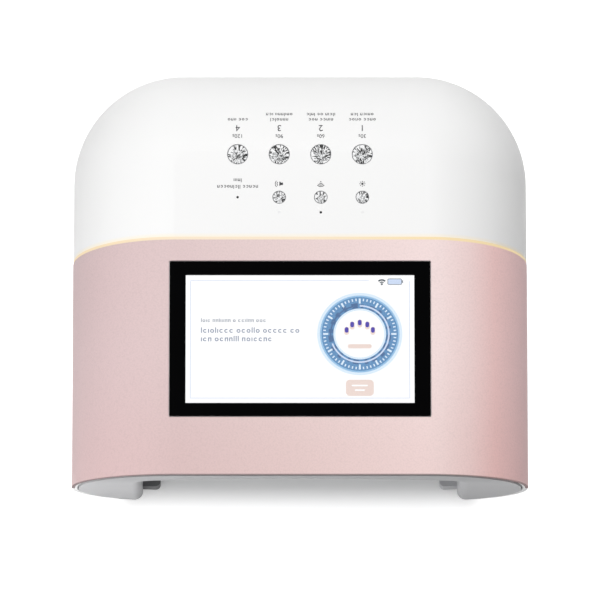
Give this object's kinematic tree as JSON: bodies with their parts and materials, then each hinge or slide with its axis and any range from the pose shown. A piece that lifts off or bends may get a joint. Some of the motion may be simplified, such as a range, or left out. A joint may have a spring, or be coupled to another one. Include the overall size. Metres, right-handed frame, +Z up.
{
  "type": "nail lamp",
  "caption": "Loaf-shaped tabletop nail-curing lamp with an arched hand opening, a flush front display, crystal push keys on the rear half and a glowing seam line.",
  "frame": {"origin": "on the table, under the middle of the lamp", "axes": "+X right as the hand's side is faced, +Y away from that side, +Z up"},
  "size_m": [0.2304, 0.22, 0.1031],
  "materials": {
    "white_shell": "smooth satin, moulded",
    "pink_skin": "soft pink, very fine grain",
    "grey_panel": "light grey, fine satin",
    "base_plastic": "pale grey, matt",
    "reflector": "silvered, smooth",
    "light_guide": "frosted clear, glows warm",
    "tape_white": "coated strip",
    "cover_glass": "black printed back, polished",
    "screen": "lit screen",
    "sheet_metal": "pressed sheet",
    "ribbon": "amber film",
    "board": "green solder mask",
    "chip": "black moulded",
    "can": "tinned",
    "switch": "black moulded",
    "pipe_dark": "smoked",
    "pipe_pale": "frosted clear",
    "led_board": "white coated",
    "diode": "clear lens over a yellow chip",
    "lens": "dark window",
    "cell": "sleeved in blue film",
    "tray": "dark grey moulded",
    "inlet": "black moulded",
    "speaker": "black",
    "rubber": "soft grey",
    "screw": "zinc plated",
    "crystal": "cut and polished",
    "holder": "silvered cup"
  },
  "bodies": {
    "lamp": {"rear_cover": "white_shell", "front_console": "pink_skin", "console_chassis": "white_shell", "lower_housing": "white_shell", "base_frame": "base_plastic", "mouth_panel": "grey_panel", "tunnel_liner": "reflector", "seam_light_guide": "light_guide", "seam_collar": "base_plastic", "seam_led_tape": "tape_white", "display_glass": "cover_glass", "display_panel": "screen", "display_bracket": "sheet_metal", "display_ribbon": "ribbon", "main_board": "board", "main_board_parts": "chip", "wireless_module": "can", "key_board": "board", "key_switches": "switch", "indicator_leds": "tape_white", "indicator_pipes_dark": "pipe_dark", "indicator_pipes_pale": "pipe_pale", "ceiling_led_boards": "led_board", "side_led_boards": "led_board", "rear_led_board": "led_board", "ceiling_diodes": "diode", "side_diodes": "diode", "rear_diodes": "diode", "camera_module": "chip", "camera_window": "lens", "hand_sensor": "chip", "battery_cells": "cell", "battery_tray": "tray", "battery_board": "board", "power_inlet": "inlet", "speaker": "speaker", "rubber_feet": "rubber", "housing_screws": "screw", "base_screws": "screw", "liner_screws": "screw", "display_screws": "screw", "key_board_screws": "screw"},
    "key_1": {"crystal_key_1": "crystal", "key_holder_1": "holder"},
    "key_2": {"crystal_key_2": "crystal", "key_holder_2": "holder"},
    "key_3": {"crystal_key_3": "crystal", "key_holder_3": "holder"},
    "key_4": {"crystal_key_4": "crystal", "key_holder_4": "holder"},
    "key_5": {"crystal_key_5": "crystal", "key_holder_5": "holder"},
    "key_6": {"crystal_key_6": "crystal", "key_holder_6": "holder"},
    "key_7": {"crystal_key_7": "crystal", "key_holder_7": "holder"}
  },
  "joints": [
    {"name": "key_1_press", "type": "slide", "parent": "lamp", "child": "key_1", "axis": [0, 0, -1], "range_m": [0, 0.0006], "stiffness_N_per_m": 2500},
    {"name": "key_2_press", "type": "slide", "parent": "lamp", "child": "key_2", "axis": [0, 0, -1], "range_m": [0, 0.0006], "stiffness_N_per_m": 2500},
    {"name": "key_3_press", "type": "slide", "parent": "lamp", "child": "key_3", "axis": [0, 0, -1], "range_m": [0, 0.0006], "stiffness_N_per_m": 2500},
    {"name": "key_4_press", "type": "slide", "parent": "lamp", "child": "key_4", "axis": [0, 0, -1], "range_m": [0, 0.0006], "stiffness_N_per_m": 2500},
    {"name": "key_5_press", "type": "slide", "parent": "lamp", "child": "key_5", "axis": [0, 0, -1], "range_m": [0, 0.0006], "stiffness_N_per_m": 2500},
    {"name": "key_6_press", "type": "slide", "parent": "lamp", "child": "key_6", "axis": [0, 0, -1], "range_m": [0, 0.0006], "stiffness_N_per_m": 2500},
    {"name": "key_7_press", "type": "slide", "parent": "lamp", "child": "key_7", "axis": [0, 0, -1], "range_m": [0, 0.0006], "stiffness_N_per_m": 2500}
  ]
}
